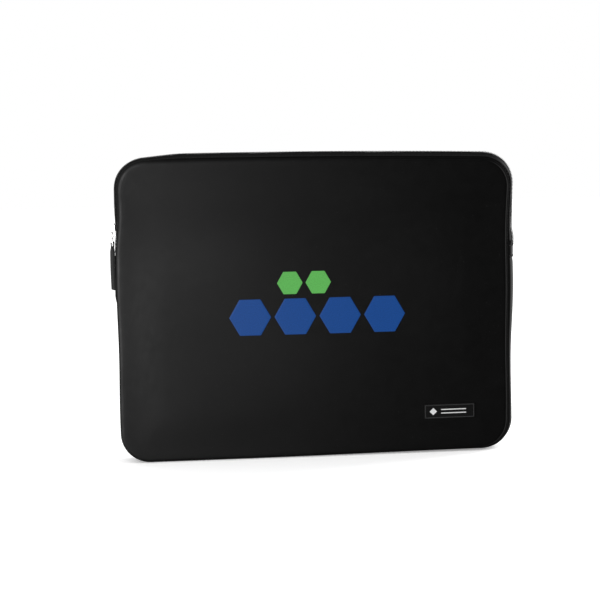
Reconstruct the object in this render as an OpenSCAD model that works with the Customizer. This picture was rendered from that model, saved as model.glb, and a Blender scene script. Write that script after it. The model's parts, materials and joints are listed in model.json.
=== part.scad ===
// Padded laptop sleeve that stands upright on its bottom gusset.
// X runs across the sleeve, the front faces -Y, and Z points up from the gusset's flat outer face.
// Two three-layer panels (knit face, foam, plush lining) are joined by a gusset on the lower edges
// and by a coil zip over the top. Above the hinge line each panel is a lip that folds outwards.

/* [Sleeve] */
// Width over the gusset
sleeve_w = 390; // [360:1:420]
// Height over the gusset and the top edge
sleeve_h = 296; // [280:1:320]
// Depth from the front face to the back face
sleeve_t = 34; // [28:1:36]
// Outer radius of the four corners
corner_r = 29; // [24:1:40]

/* [Layers] */
// Thickness of the knit face
face_t = 0.8; // [0.5:0.1:1]
// Thickness of a panel's foam
foam_t = 3.4; // [2:0.2:4]
// Thickness of a panel's lining
lining_t = 0.8; // [0.5:0.1:1]
// Thickness of the gusset's foam
gusset_foam_t = 1.6; // [1:0.1:2]
// Thickness of the gusset's lining
gusset_lining_t = 0.6; // [0.4:0.1:0.8]
// Width of the tape that binds the inner seams
binding_w = 3.5; // [2:0.5:5]
// Thickness of the binding tape
binding_t = 2.4; // [1:0.2:2.6]

/* [Mouth] */
// Height of the fold line of both lips
lip_hinge_z = 213; // [205:1:225]
// Gap left at the fold line
lip_gap = 0.3; // [0.2:0.1:0.5]
// Angle by which the front lip stands open
lip_open = 8; // [0:1:30]
// Height of the gusset's upper ends
gusset_top_z = 209; // [200:1:212]
// Length of the tabs that cover the zip's sewn ends
end_tab_l = 18; // [12:1:24]
// Thickness of the end tabs
end_tab_t = 0.8; // [0.5:0.1:1]
// Height that the end tabs reach above the gusset
end_tab_rise = 1; // [0.5:0.5:2]

/* [Zip] */
// Inset of the coil's outer side from the sleeve's outline
coil_inset = 0.3; // [0.2:0.1:0.6]
// Thickness of the coil
coil_t = 1.2; // [1:0.1:1.4]
// Width of one row of the coil
coil_w = 2.8; // [2:0.1:3]
// Half of the space between the two closed rows
coil_gap = 1.1; // [1:0.1:1.5]
// Thickness of the zip tape
tape_t = 0.8; // [0.5:0.1:1]
// Distance that the tape starts from the middle of the zip
tape_start = 1.7; // [1.5:0.1:2.5]

/* [Slider] */
// Height of the slider's middle
slider_z = 229.5; // [226:0.5:235]
// Length of the slider
slider_l = 12; // [10:0.5:14]
// Width of the slider's wide end
slider_wide = 9.6; // [9:0.2:10]
// Width of the slider's narrow end
slider_narrow = 7.6; // [7:0.2:9]
// Thickness of each slider plate
plate_t = 1.2; // [1:0.1:1.4]
// Half of the thickness of the diamond post between the rows
post_half = 0.8; // [0.5:0.1:0.8]
// Width of the crown that holds the pull
crown_w = 3.2; // [2.4:0.2:4]
// Height of the crown above the outer plate
crown_h = 4; // [3.5:0.1:5]
// Length of the crown along the zip
crown_l = 10; // [9:0.5:11]
// Length of each of the crown's two legs along the zip
crown_leg = 2; // [1.5:0.1:2.5]

/* [Pull] */
// Radius of the pull loop's wire
wire_r = 0.7; // [0.5:0.05:0.8]
// Length of the pull loop between its two bars
loop_l = 10.5; // [8:0.5:14]
// Half of the loop's width at the slider
loop_half_top = 3.2; // [2.8:0.1:4]
// Half of the loop's width at the tab
loop_half_low = 6.2; // [6:0.1:8]
// Length of the tab below the loop
tab_l = 46; // [30:1:60]
// Width of the tab's ribbon
tab_w = 10; // [8:0.5:10.5]
// Thickness of the doubled ribbon
tab_t = 2.2; // [1.8:0.1:2.6]

/* [Trim] */
// Width of the label
label_w = 52; // [40:1:60]
// Height of the label
label_h = 15; // [12:1:22]
// Thickness of the label
label_t = 0.8; // [0.5:0.1:1]
// Across-corner radius of a blue printed hexagon
blue_r = 20.5; // [15:0.5:22]
// Across-corner radius of a green printed hexagon
green_r = 12.6; // [8:0.2:14]
// Thickness of the print
print_t = 0.3; // [0.2:0.05:0.4]

/* [Hidden] */
$fn = 96;
half_t = sleeve_t / 2;
layer_inset = face_t;
inner_y = half_t - face_t - foam_t - lining_t;
foam_y = half_t - face_t - foam_t;
gusset_in = face_t + gusset_foam_t + gusset_lining_t;
tape_inset = coil_inset + coil_t;
coil_x = -sleeve_w / 2 + coil_inset;
tape_x = coil_x + coil_t + tape_t;
over = 1;
slider_play = 0.3;
post_end = 1;
outer_plate_x = coil_x - slider_play - plate_t;
inner_plate_x = tape_x + slider_play;
crown_top_x = outer_plate_x - crown_h;
crown_wall = 1;
crown_below = 4;
loop_play = 0.3;
pivot_x = crown_top_x + crown_wall + wire_r + loop_play;
pivot_z = slider_z - 3;
loop_low_z = pivot_z - loop_l;
bend_swell = 0.05;
bend_r = wire_r + bend_swell;
eye_play = 0.35;
eye_r = wire_r + eye_play;
eye_wall = 0.9;
stitch_r = 0.3;
stitch_margin = 1;
stitch_top = 5;
stitch_end = 4;
label_x = 133;
label_z = 41.5;
label_rim = 1.2;
label_rim_t = 0.3;
border_w = label_w - label_rim;
border_h = label_h - label_rim;
mark_shift = 4;
mark_r = label_h / 4;
mark_rise = label_h / 8;
print_x = 1;
blue_z = 141.5;
blue_pitch = 44.3;
green_x = -12;
green_z = 174.5;
green_pitch = 28;
tack_w = 1.2;
tack_t = 0.5;
tack_margin = 2;
tack_inset = 2 * tack_w;

// ---- shapes in the plane of the sleeve: X across, Y of the drawing is Z of the sleeve ----

// Rounded outline, moved inwards by inset
module outline(inset) {
    r = corner_r - inset;
    straight_w = sleeve_w - 2 * corner_r;
    straight_h = sleeve_h - 2 * corner_r;
    translate([0, sleeve_h / 2]) {
        square([sleeve_w - 2 * inset, straight_h], center = true);
        square([straight_w, sleeve_h - 2 * inset], center = true);
        for (sx = [-1, 1], sz = [-1, 1])
            translate([sx * straight_w / 2, sz * straight_h / 2]) circle(r = r);
    }
}

// Band that follows the outline between two insets
module band(outer, inner) {
    difference() {
        outline(outer);
        outline(inner);
    }
}

// Part of a drawing between two heights
module between(z0, z1) {
    intersection() {
        children();
        translate([-sleeve_w, z0]) square([2 * sleeve_w, z1 - z0]);
    }
}

// Part of a drawing under the fold line
module lower() {
    between(-over, lip_hinge_z) children();
}

// Part of a drawing over the fold line
module upper() {
    between(lip_hinge_z + lip_gap, sleeve_h + over) children();
}

// Stands a drawing up and gives it the depth from y0 to y1
module slab(y0, y1) {
    translate([0, y1, 0]) rotate([90, 0, 0]) linear_extrude(y1 - y0) children();
}

// ---- placing ----

// Swings the front lip out about its fold line
module opened() {
    translate([0, -half_t, lip_hinge_z]) rotate([lip_open, 0, 0])
        translate([0, half_t, -lip_hinge_z]) children();
}

// Turns a front piece into its partner on the back
module to_back() {
    mirror([0, 1, 0]) children();
}

// ---- layers of the front, drawn closed; cut() picks the lower or the upper part ----

module cut(is_lip) {
    if (is_lip) upper() children();
    else lower() children();
}

module face(is_lip) {
    union() {
        slab(-half_t, face_t - half_t) cut(is_lip) outline(0);
        slab(face_t - half_t, -inner_y) cut(is_lip) band(0, layer_inset);
    }
}

module foam(is_lip) {
    slab(face_t - half_t, -foam_y) cut(is_lip) outline(layer_inset);
}

module lining(is_lip) {
    slab(-foam_y, -inner_y) cut(is_lip) outline(layer_inset);
}

module binding(is_lip) {
    slab(-inner_y, binding_t - inner_y) cut(is_lip) band(gusset_in, gusset_in + binding_w);
}

module tape() {
    slab(-inner_y, -tape_start) upper() band(tape_inset, tape_inset + tape_t);
}

module coil() {
    slab(-coil_gap - coil_w, -coil_gap) upper() band(coil_inset, tape_inset);
}

// Layer of the gusset that follows the lower edges
module gusset_layer(outer, inner) {
    slab(-inner_y, inner_y) between(-over, gusset_top_z) band(outer, inner);
}

// Tab folded over one sewn end of the zip; side is -1 on the left and 1 on the right
module end_tab(side) {
    z0 = gusset_top_z + end_tab_rise - end_tab_l;
    x0 = side * (sleeve_w / 2 + end_tab_t / 2);
    translate([x0, 0, z0 + end_tab_l / 2]) cube([end_tab_t, 2 * inner_y, end_tab_l], center = true);
}

// Straight wire between two points of the plane X = 0
module wire(p, q) {
    v = q - p;
    translate([0, p[0], p[1]]) rotate([atan2(-v[0], v[1]), 0, 0]) cylinder(r = wire_r, h = norm(v));
}

// Row of upright hexagons on the front face
module hexagons(count, r, pitch, x, z) {
    slab(-half_t - print_t, -half_t)
        for (i = [0 : count - 1])
            translate([x + (i - (count - 1) / 2) * pitch, z]) circle(r = r, $fn = 6);
}

// ---- pocket: the part that holds the laptop ----

module front_lower_face() { color("#222224") face(false); }
module front_lower_foam() { color("#3a3a3a") foam(false); }
module front_lower_lining() { color("#2c2c30") lining(false); }
module front_lower_binding() { color("#1a1a1c") binding(false); }
module back_lower_face() { color("#222224") to_back() face(false); }
module back_lower_foam() { color("#3a3a3a") to_back() foam(false); }
module back_lower_lining() { color("#2c2c30") to_back() lining(false); }
module back_lower_binding() { color("#1a1a1c") to_back() binding(false); }

module gusset_face() { color("#1e1e20") gusset_layer(0, face_t); }
module gusset_foam() { color("#3a3a3a") gusset_layer(face_t, face_t + gusset_foam_t); }
module gusset_lining() { color("#2c2c30") gusset_layer(face_t + gusset_foam_t, gusset_in); }

module zip_end_tapes() {
    color("#161618")
        slab(-inner_y, inner_y) between(gusset_top_z, lip_hinge_z) band(tape_inset, tape_inset + tape_t);
}

module zip_end_coils() {
    color("#101012")
        slab(-coil_gap - coil_w, coil_gap + coil_w)
            between(gusset_top_z, lip_hinge_z) band(coil_inset, tape_inset);
}

module left_end_tab() { color("#1e1e20") end_tab(-1); }
module right_end_tab() { color("#1e1e20") end_tab(1); }

// Dense stitches that hold the end tabs, two on each tab
module bar_tacks() {
    x = sleeve_w / 2 + end_tab_t + tack_t / 2;
    z_mid = gusset_top_z + end_tab_rise - end_tab_l / 2;
    color("#0c0c0e")
        for (side = [-1, 1], end = [-1, 1])
            translate([side * x, 0, z_mid + end * (end_tab_l / 2 - tack_inset)])
                cube([tack_t, 2 * (inner_y - tack_margin), tack_w], center = true);
}

module label_patch() {
    color("#141416")
        translate([label_x, -half_t - label_t / 2, label_z])
            cube([label_w, label_t, label_h], center = true);
}

module label_border() {
    y = -half_t - label_t;
    color("#606062")
        slab(y - label_rim_t, y) translate([label_x, label_z]) difference() {
            square([border_w, border_h], center = true);
            square([border_w - 2 * label_rim, border_h - 2 * label_rim], center = true);
        }
}

// Diamond and two bars
module label_mark() {
    y = -half_t - label_t;
    color("#d8d8da")
        slab(y - label_rim_t, y) translate([label_x, label_z]) {
            translate([-label_w / 4 - mark_shift, 0]) circle(r = mark_r, $fn = 4);
            for (sz = [-1, 1])
                translate([mark_shift, sz * mark_rise]) square([label_w / 2, label_rim], center = true);
        }
}

module blue_print() { color("#2c4c8c") hexagons(4, blue_r, blue_pitch, print_x, blue_z); }
module green_print() { color("#5aa85a") hexagons(2, green_r, green_pitch, green_x, green_z); }

// ---- front lip ----

module front_lip_face() { color("#222224") opened() face(true); }
module front_lip_foam() { color("#3a3a3a") opened() foam(true); }
module front_lip_lining() { color("#2c2c30") opened() lining(true); }
module front_lip_binding() { color("#1a1a1c") opened() binding(true); }
module front_zip_tape() { color("#161618") opened() tape(); }
module front_zip_coil() { color("#101012") opened() coil(); }

// ---- back lip ----

module back_lip_face() { color("#222224") to_back() face(true); }
module back_lip_foam() { color("#3a3a3a") to_back() foam(true); }
module back_lip_lining() { color("#2c2c30") to_back() lining(true); }
module back_lip_binding() { color("#1a1a1c") to_back() binding(true); }
module back_zip_tape() { color("#161618") to_back() tape(); }
module back_zip_coil() { color("#101012") to_back() coil(); }

// ---- slider and pull ----

// Slider plate whose outer side is at x0, wide end up
module plate(x0) {
    translate([x0, 0, slider_z]) rotate([90, 0, 90]) linear_extrude(plate_t)
        polygon([
            [-slider_narrow / 2, -slider_l / 2], [slider_narrow / 2, -slider_l / 2],
            [slider_wide / 2, slider_l / 2], [-slider_wide / 2, slider_l / 2]
        ]);
}

module slider_body() {
    post_x = outer_plate_x + plate_t;
    crown_z = pivot_z - crown_below;
    color("#b8b8ba") union() {
        plate(outer_plate_x);
        plate(inner_plate_x);
        translate([post_x, -post_half, slider_z])
            cube([inner_plate_x - post_x, 2 * post_half, slider_l / 2 - post_end]);
        difference() {
            translate([crown_top_x, -crown_w / 2, crown_z]) cube([crown_h, crown_w, crown_l]);
            translate([crown_top_x + crown_wall, -crown_w, crown_z + crown_leg])
                cube([crown_h - crown_wall, 2 * crown_w, crown_l - 2 * crown_leg]);
        }
    }
}

module pull_loop() {
    color("#c4c4c6") translate([pivot_x, 0, 0]) union() {
        wire([-loop_half_top, pivot_z], [loop_half_top, pivot_z]);
        wire([-loop_half_low, loop_low_z], [loop_half_low, loop_low_z]);
        for (s = [-1, 1]) {
            wire([s * loop_half_low, loop_low_z], [s * loop_half_top, pivot_z]);
            translate([0, s * loop_half_top, pivot_z]) sphere(r = bend_r);
            translate([0, s * loop_half_low, loop_low_z]) sphere(r = bend_r);
        }
    }
}

// Ribbon doubled round the loop's lower bar
module pull_tab() {
    color("#2a2a2c") translate([pivot_x, 0, loop_low_z]) difference() {
        union() {
            rotate([90, 0, 0]) cylinder(r = eye_r + eye_wall, h = tab_w, center = true);
            translate([-tab_t / 2, -tab_w / 2, -tab_l]) cube([tab_t, tab_w, tab_l]);
        }
        rotate([90, 0, 0]) cylinder(r = eye_r, h = tab_w + 2 * over, center = true);
    }
}

// Rows of thread across the ribbon, on both of its sides
module pull_tab_stitches() {
    row_z = [stitch_top, tab_l - stitch_end];
    color("#111113")
        for (z = row_z, side = [-1, 1])
            translate([pivot_x + side * (tab_t + stitch_r) / 2, 0, loop_low_z - z])
                cube([stitch_r, tab_w - 2 * stitch_margin, 2 * stitch_r], center = true);
}

front_lower_face();
front_lower_foam();
front_lower_lining();
front_lower_binding();
back_lower_face();
back_lower_foam();
back_lower_lining();
back_lower_binding();
gusset_face();
gusset_foam();
gusset_lining();
zip_end_tapes();
zip_end_coils();
left_end_tab();
right_end_tab();
bar_tacks();
label_patch();
label_border();
label_mark();
blue_print();
green_print();
front_lip_face();
front_lip_foam();
front_lip_lining();
front_lip_binding();
front_zip_tape();
front_zip_coil();
back_lip_face();
back_lip_foam();
back_lip_lining();
back_lip_binding();
back_zip_tape();
back_zip_coil();
slider_body();
pull_loop();
pull_tab();
pull_tab_stitches();
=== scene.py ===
import json
import math

import bmesh
import bpy
import numpy as np
from mathutils import Matrix, Vector


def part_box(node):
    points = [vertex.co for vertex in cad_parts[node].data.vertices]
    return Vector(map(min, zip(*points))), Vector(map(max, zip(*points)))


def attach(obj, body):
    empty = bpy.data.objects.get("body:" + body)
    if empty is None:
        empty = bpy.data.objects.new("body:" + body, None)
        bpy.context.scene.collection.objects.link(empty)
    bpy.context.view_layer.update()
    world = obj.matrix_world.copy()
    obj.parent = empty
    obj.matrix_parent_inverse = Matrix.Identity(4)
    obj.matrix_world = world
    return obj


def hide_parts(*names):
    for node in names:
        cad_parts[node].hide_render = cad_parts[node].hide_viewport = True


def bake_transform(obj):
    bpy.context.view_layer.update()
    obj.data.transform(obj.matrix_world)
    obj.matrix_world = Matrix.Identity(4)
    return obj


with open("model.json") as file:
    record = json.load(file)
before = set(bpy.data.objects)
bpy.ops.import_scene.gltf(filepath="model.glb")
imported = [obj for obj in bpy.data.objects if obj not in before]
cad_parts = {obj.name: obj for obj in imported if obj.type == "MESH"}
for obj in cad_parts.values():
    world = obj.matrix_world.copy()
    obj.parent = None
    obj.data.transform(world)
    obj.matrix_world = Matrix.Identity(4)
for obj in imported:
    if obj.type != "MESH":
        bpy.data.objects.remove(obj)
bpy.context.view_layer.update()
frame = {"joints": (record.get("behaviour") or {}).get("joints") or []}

# Lengths are millimetres down to the floor and lights, and are turned into metres when a mesh is made.
# Sizes inside a material are metres.
MM = 0.001


def node_box(node):
    """A node's lowest and highest corner, in millimetres."""
    low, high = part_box(node)
    return np.array(low) / MM, np.array(high) / MM


# ---- The frame's own sizes ----
joints = {joint["name"]: joint for joint in frame["joints"]}
tray_low, tray_high = node_box("front_lower_face")
HALF_W = tray_high[0]
HALF_T = -tray_low[1]
SEAM_Y = -tray_high[1]
TOP = node_box("back_lip_face")[1][2]
HINGE_Z = joints["front_lip_fold"]["pos_m"][2] / MM
LIP_OPEN = math.radians(-joints["front_lip_fold"]["range_deg"][0])
TAB_LOW, TAB_HIGH = node_box("left_end_tab")
CORNER_R = 29.0

# ---- How the soft shell settles ----
FOLD_LOW, FOLD_HIGH = HINGE_Z - 11, HINGE_Z + 13  # where a lip's joint bends the shell
REST_LOW, REST_HIGH = HINGE_Z - 45, HINGE_Z + 50  # where the front lip leans open at rest
PUFF = 2.0  # how far a panel's middle stands out
FLAT_EDGE = 50  # a panel lies flatter within this of its edge
CROWN, CROWN_LEVEL = 2.4, 0.75  # how far the top arches, and the share of that by which its middle rises
LIP_BOW = 2.0  # how far a lip's middle stands out
LEAN = 1.0  # how far the back lies to the right, and the front to the left
EDGE_WAVE, EDGE_WAVE_LENGTH = 0.35, 19
TUCK, FLARE = 3.5, 1.8  # how far the front's edges pull in, and the back lip's left edge spreads
LIP_EASE = 45  # the height over which the left edge eases into its lip
AHEAD_FROM, BEHIND_FROM = 4, -2  # how far from the middle's depth the front and the back begin
SKEW = 2.0  # how far the front's lower right corner lifts, and the top tilts down to the right
SKEW_FROM, SKEW_HEIGHT = -0.4, 60
TILT_LOW, TILT_HIGH = 180, 280

FRONT, BACK = -1.0, 1.0
FORWARDS, SIDEWAYS = np.array([0.0, -1.0, 0.0]), np.array([1.0, 0.0, 0.0])


def ramp(value, start, end):
    """A smooth step: 0 at start, 1 at end."""
    t = np.clip((value - start) / (end - start), 0, 1)
    return t * t * (3 - 2 * t)


def slow_wave(x, z, side):
    """The slight unevenness of a panel, different on the front and the back."""
    return 0.45 * np.sin(x / 31 + z / 47 + side) + 0.3 * np.sin(z / 23 - x / 53 + 2 * side)


def settle(points, side):
    """Moves points of the flat-sided sleeve onto the soft one. side is -1 on the front, 1 on the back,
    and in between on a strip that joins them."""
    x, y, z = (points[..., k].copy() for k in range(3))
    across = x / HALF_W
    up = 2 * z / TOP - 1
    margin = np.minimum(np.minimum(HALF_W - np.abs(x), z), TOP - z)
    puff = PUFF * (1 - across**4) * (1 - up**4) + slow_wave(x, z, side)
    y += side * ramp(margin, 0, FLAT_EDGE) * puff
    y += side * LIP_BOW * ramp(z, HINGE_Z, TOP) * (1 - across**2)
    z += CROWN * ramp(z, TOP / 2, TOP) * (CROWN_LEVEL - across**2)
    x += LEAN * points[..., 1] / HALF_T + EDGE_WAVE * across**5 * np.sin(z / EDGE_WAVE_LENGTH + side)
    left, right = np.clip(-across, 0, 1) ** 3, np.clip(across, 0, 1) ** 3
    lip = ramp(points[..., 2], FOLD_LOW, FOLD_LOW + LIP_EASE)
    ahead = ramp(-points[..., 1], AHEAD_FROM, HALF_T)
    behind = ramp(points[..., 1], BEHIND_FROM, HALF_T)
    x += TUCK * ahead * (left * lip - right) - FLARE * behind * left * lip
    lifted = ramp(across, SKEW_FROM, 1) * ahead * ramp(z, SKEW_HEIGHT, 0)
    z += SKEW * (lifted - across * ramp(z, TILT_LOW, TILT_HIGH))
    turn = LIP_OPEN * ramp(points[..., 2], REST_LOW, REST_HIGH) * (1 - side) / 2
    dy, dz = y + HALF_T, z - HINGE_Z
    y = dy * np.cos(turn) - dz * np.sin(turn) - HALF_T
    z = dy * np.sin(turn) + dz * np.cos(turn) + HINGE_Z
    return np.stack([x, y, z], axis=-1)


# ---- Meshes ----
def lengths(points, closed=False):
    """Distance along a line of points; a closed one gets one more value, its whole length."""
    line = np.concatenate([points, points[:1]]) if closed else points
    steps = np.linalg.norm(np.diff(line, axis=0), axis=1)
    return np.concatenate([[0], np.cumsum(steps)])


def lattice(rows, columns, wrap_rows=False, wrap_columns=False):
    """Quads of a grid of points, and the grid place of each of their corners."""
    a, b = np.meshgrid(
        np.arange(rows if wrap_rows else rows - 1),
        np.arange(columns if wrap_columns else columns - 1),
        indexing="ij",
    )
    corners = [(a, b), (a + 1, b), (a + 1, b + 1), (a, b + 1)]
    faces = np.stack([((u % rows) * columns + v % columns).ravel() for u, v in corners], axis=1)
    places = np.stack([np.stack([u.ravel(), v.ravel()], axis=1) for u, v in corners], axis=1)
    return faces, places


class Shape:
    """Gathers points, faces and texture places in millimetres, then becomes one Blender mesh.
    Each point carries painted light: 0 is painted shade deep in a seam, 0.5 open cloth and 1 a painted
    highlight on a ridge."""

    def __init__(self):
        self.points = []
        self.light_paints = []
        self.faces = []
        self.texture = []
        self.count = 0

    def grid(self, points, texture, wrap_rows=False, wrap_columns=False, light_paint=0.5):
        """A grid of points (rows, columns, 3). texture has one more row or column where the grid wraps."""
        rows, columns = points.shape[:2]
        faces, places = lattice(rows, columns, wrap_rows, wrap_columns)
        self.points.append(points.reshape(-1, 3))
        self.light_paints.append(np.broadcast_to(light_paint, (rows, columns)).ravel())
        self.faces.extend((faces + self.count).tolist())
        self.texture.append(texture[places[..., 0], places[..., 1]].reshape(-1, 2))
        self.count += rows * columns
        return self

    def tube(self, points, wrap_rows=False, texture=None, light_paint=0.5):
        """A grid whose columns close round, with flat ends unless its rows close too."""
        rows, columns = points.shape[:2]
        start = self.count
        if texture is None:
            u, v = lengths(points[:, 0], wrap_rows), lengths(points[0], True)
            texture = np.stack(np.meshgrid(u, v, indexing="ij"), axis=-1)
        self.grid(points, texture, wrap_rows, True, light_paint)
        if not wrap_rows:
            for ring in (np.arange(columns)[::-1], (rows - 1) * columns + np.arange(columns)):
                self.faces.append((ring + start).tolist())
                self.texture.append(texture[ring // columns, ring % columns])
        return self

    def build(self, name, finish, sharp=None):
        """The mesh object. sharp is the angle past which an edge stays crisp, in degrees."""
        mesh = bpy.data.meshes.new(name)
        mesh.from_pydata((np.concatenate(self.points) * MM).tolist(), [], self.faces)
        layer = mesh.uv_layers.new(name="Cut")
        layer.data.foreach_set("uv", (np.concatenate(self.texture) * MM).astype(np.float32).ravel())
        # Each point's painted light, which the materials read: painted shade deep in seams and a painted
        # highlight on ridges.
        painted_light = mesh.attributes.new("PaintedLight", "FLOAT", "POINT")
        painted_light.data.foreach_set("value", np.concatenate(self.light_paints).astype(np.float32))
        made = bmesh.new()
        made.from_mesh(mesh)
        bmesh.ops.remove_doubles(made, verts=made.verts, dist=0.002 * MM)
        bmesh.ops.recalc_face_normals(made, faces=made.faces)
        made.to_mesh(mesh)
        made.free()
        mesh.shade_smooth()
        if sharp:
            mesh.set_sharp_from_angle(angle=math.radians(sharp))
        mesh.materials.append(finish)
        piece = bpy.data.objects.new(name, mesh)
        bpy.context.scene.collection.objects.link(piece)
        return piece


# ---- Paths round the outline ----
class Path:
    """Places on the sleeve's outline: each has a point and an outward direction, in x and z."""

    def __init__(self, point, outward, closed=False):
        self.point = point
        self.outward = outward
        self.closed = closed

    def at(self, inset, y):
        """Points at an inset from the outline, and a depth. Both may be (stations, columns)."""
        inset = np.asarray(inset, float)
        y = np.broadcast_to(y, inset.shape)
        flat = self.point[:, None, :] - inset[..., None] * self.outward[:, None, :]
        return np.stack([flat[..., 0], y, flat[..., 1]], axis=-1)

    def section(self, profile):
        """One profile, (columns, 2) of inset and depth, at every station."""
        profile = np.asarray(profile, float)
        inset = np.broadcast_to(profile[:, 0], (len(self.point), len(profile)))
        return self.at(inset, profile[:, 1])


def rounded_path(end_z, upper, spacing=3.0):
    """From the left side at end_z, over the top or under the bottom, to the right side at end_z."""
    side = (TOP - end_z if upper else end_z) - CORNER_R
    arc = math.pi / 2 * CORNER_R
    total = 2 * (side + arc + HALF_W - CORNER_R)
    run = np.linspace(0, total, int(total / spacing) + 1)
    near = np.minimum(run, total - run)
    turn = np.clip((near - side) / CORNER_R, 0, math.pi / 2)
    right = np.where(run > total / 2, 1.0, -1.0)
    out_x, out_z = np.cos(turn), np.sin(turn)
    x = HALF_W - CORNER_R + CORNER_R * out_x - np.maximum(near - side - arc, 0)
    rise = np.minimum(near, side) + CORNER_R * out_z
    z = end_z + rise if upper else end_z - rise
    outward = np.stack([right * out_x, out_z if upper else -out_z], axis=1)
    return Path(np.stack([right * x, z], axis=1), outward)


def whole_outline(long_cells, tall_cells, arc_cells):
    """The closed outline, with its straight sides and round corners cut into cells."""
    half = np.array([HALF_W - CORNER_R, TOP / 2 - CORNER_R])
    corners = [half * c for c in ([-1, -1], [1, -1], [1, 1], [-1, 1])]
    centres, angles = [], []
    for k in range(4):
        start, end = corners[k], corners[(k + 1) % 4]
        heading = math.pi / 2 * (k - 1)
        for step in range(long_cells if k % 2 == 0 else tall_cells):
            share = step / (long_cells if k % 2 == 0 else tall_cells)
            centres.append(start + share * (end - start))
            angles.append(heading)
        for step in range(arc_cells):
            centres.append(end)
            angles.append(heading + math.pi / 2 * step / arc_cells)
    outward = np.stack([np.cos(angles), np.sin(angles)], axis=1)
    point = np.array(centres) + [0, TOP / 2] + CORNER_R * outward
    return Path(point, outward, closed=True)


def faced(points, side):
    """Points drawn for the front, put on their side of the sleeve and settled."""
    turned = points * [1, -side, 1]
    return settle(turned, side)


def swept(path, profile, side):
    """A closed profile of insets and front depths, swept along a path."""
    return Shape().tube(faced(path.section(profile), side), path.closed)


# ---- Materials ----
SEAM_DULL = 0.35


class Finish:
    """A node-based material. Its texture places are the mesh's own, in metres along and across the cut."""

    def __init__(self, name, roughness, metallic=0.0, sheen=0.0, specular=0.5):
        self.material = bpy.data.materials.new(name)
        self.material.use_nodes = True
        self.tree = self.material.node_tree
        self.shader = self.tree.nodes["Principled BSDF"]
        constants = {
            "Roughness": roughness,
            "Metallic": metallic,
            "Sheen Weight": sheen,
            "Sheen Roughness": 0.45,
            "Specular IOR Level": specular,
        }
        for socket, value in constants.items():
            self.shader.inputs[socket].default_value = value
        cut = self.tree.nodes.new("ShaderNodeUVMap")
        cut.uv_map = "Cut"
        self.cut = cut.outputs["UV"]
        split = self.tree.nodes.new("ShaderNodeSeparateXYZ")
        self.tree.links.new(self.cut, split.inputs[0])
        self.u, self.v = split.outputs["X"], split.outputs["Y"]
        # Reads each point's painted light: painted shade in seams, painted highlight on ridges.
        painted_light = self.tree.nodes.new("ShaderNodeAttribute")
        painted_light.attribute_name = "PaintedLight"
        self.light_paint = painted_light.outputs["Fac"]

    def put(self, socket, value):
        if isinstance(value, bpy.types.NodeSocket):
            self.tree.links.new(value, socket)
        else:
            socket.default_value = value

    def math(self, operation, a, b=0.0):
        node = self.tree.nodes.new("ShaderNodeMath")
        node.operation = operation
        self.put(node.inputs[0], a)
        self.put(node.inputs[1], b)
        return node.outputs[0]

    def add(self, a, b):
        return self.math("ADD", a, b)

    def times(self, a, b):
        return self.math("MULTIPLY", a, b)

    def wave(self, place, pitch):
        """A sine from -1 to 1 that repeats every pitch metres."""
        return self.math("SINE", self.times(place, 2 * math.pi / pitch))

    def noise(self, size, detail=2.0):
        """Noise from about 0.3 to 0.7, with lumps of about size metres."""
        node = self.tree.nodes.new("ShaderNodeTexNoise")
        node.inputs["Scale"].default_value = 1 / size
        node.inputs["Detail"].default_value = detail
        self.tree.links.new(self.cut, node.inputs["Vector"])
        return node.outputs["Fac"]

    def ranged(self, value, low, high, to_low=0.0, to_high=1.0, kind="LINEAR"):
        """A value between low and high, moved to the same place between to_low and to_high."""
        node = self.tree.nodes.new("ShaderNodeMapRange")
        node.interpolation_type = kind
        self.put(node.inputs["Value"], value)
        for socket, end in (("From Min", low), ("From Max", high), ("To Min", to_low), ("To Max", to_high)):
            node.inputs[socket].default_value = end
        return node.outputs["Result"]

    def above(self, value, low, high):
        """0 where value is under low, 1 where it is over high."""
        return self.ranged(value, low, high, kind="SMOOTHSTEP")

    def blend_colours(self, share, first, second):
        node = self.tree.nodes.new("ShaderNodeMix")
        node.data_type = "RGBA"
        self.put(node.inputs["Factor"], share)
        for socket, value in (("A", first), ("B", second)):
            target = next(i for i in node.inputs if i.name == socket and i.type == "RGBA")
            self.put(target, value if isinstance(value, bpy.types.NodeSocket) else (*value, 1))
        return next(o for o in node.outputs if o.type == "RGBA")

    def colour(self, value):
        self.put(self.shader.inputs["Base Color"], value)

    def painted_light_colour(self, value, deep, highlight_and_wear):
        """The colour of open cloth, going to a painted shade in a seam and to a painted highlight on a
        ridge.
        """
        from_seam = self.blend_colours(self.above(self.light_paint, 0.0, 0.5), deep, value)
        self.colour(self.blend_colours(self.above(self.light_paint, 0.5, 1.0), from_seam, highlight_and_wear))

    def rough(self, value, low, high):
        """Roughness from low to high as value goes from 0.3 to 0.7, and duller in a seam."""
        dull = self.times(self.above(self.light_paint, 0.5, 0.0), SEAM_DULL)
        self.put(self.shader.inputs["Roughness"], self.add(self.ranged(value, 0.3, 0.7, low, high), dull))

    def relief(self, height, depth, strength=1.0):
        """Bump, where a height of 1 stands depth metres proud."""
        node = self.tree.nodes.new("ShaderNodeBump")
        node.inputs["Distance"].default_value = depth
        node.inputs["Strength"].default_value = strength
        self.put(node.inputs["Height"], height)
        self.put(self.shader.inputs["Normal"], node.outputs["Normal"])


def grey(value, warmth=0.0):
    return (value * (1 + warmth), value, value * (1 - warmth))


def shaded(colour, share):
    return tuple(share * part for part in colour)


KNIT_GLOSS = 0.036


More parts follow.
